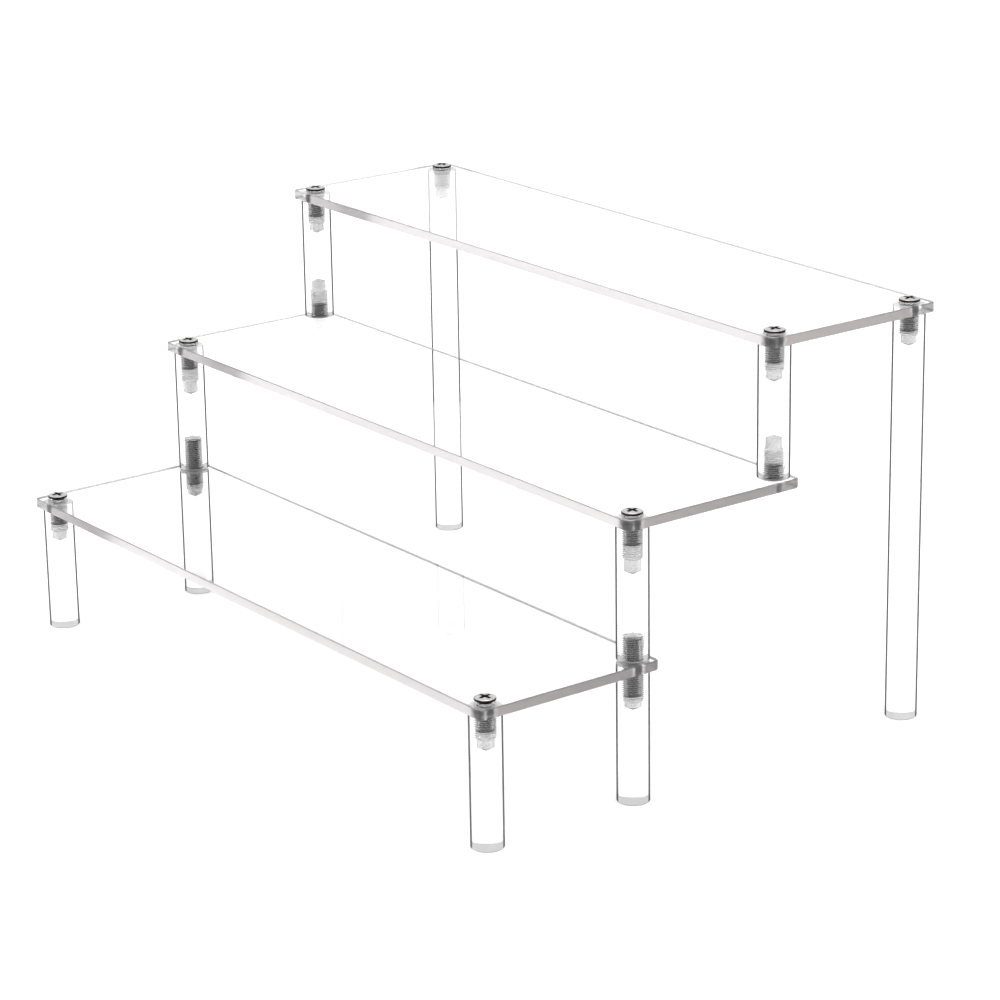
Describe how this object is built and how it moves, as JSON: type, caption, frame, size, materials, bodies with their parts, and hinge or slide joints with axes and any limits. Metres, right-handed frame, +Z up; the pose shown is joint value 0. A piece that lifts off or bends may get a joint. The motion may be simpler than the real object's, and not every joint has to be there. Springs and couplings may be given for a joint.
{
  "type": "tiered shelf riser",
  "caption": "Stepped display riser: clear flat shelves climbing backwards, held on solid clear round posts by small cross-recess screws and hidden studs.",
  "frame": {"origin": "on the floor, at the middle of the riser's footprint", "axes": "+X runs along the shelves to the right seen from the front, +Y runs back towards the highest shelf, +Z is up"},
  "size_m": [0.375, 0.2586, 0.2019],
  "materials": {
    "sheet_acrylic": "clear acrylic sheet with polished faces and faintly sawn edges",
    "rod_acrylic": "clear cast acrylic rod, polished, with satin cut ends",
    "screw_steel": "bright plated steel"
  },
  "bodies": {
    "root": {"lower_shelf": "sheet_acrylic", "middle_shelf": "sheet_acrylic", "upper_shelf": "sheet_acrylic", "front_leg_left": "rod_acrylic", "front_leg_right": "rod_acrylic", "rear_leg_left": "rod_acrylic", "rear_leg_right": "rod_acrylic", "middle_post_left": "rod_acrylic", "middle_post_right": "rod_acrylic", "upper_post_left": "rod_acrylic", "upper_post_right": "rod_acrylic", "back_leg_left": "rod_acrylic", "back_leg_right": "rod_acrylic", "lower_front_screw_left": "screw_steel", "lower_front_screw_right": "screw_steel", "middle_front_screw_left": "screw_steel", "middle_front_screw_right": "screw_steel", "upper_front_screw_left": "screw_steel", "upper_front_screw_right": "screw_steel", "upper_rear_screw_left": "screw_steel", "upper_rear_screw_right": "screw_steel", "joining_stud_left": "screw_steel", "joining_stud_right": "screw_steel", "middle_rear_grub_screw_left": "screw_steel", "middle_rear_grub_screw_right": "screw_steel"}
  },
  "joints": []
}
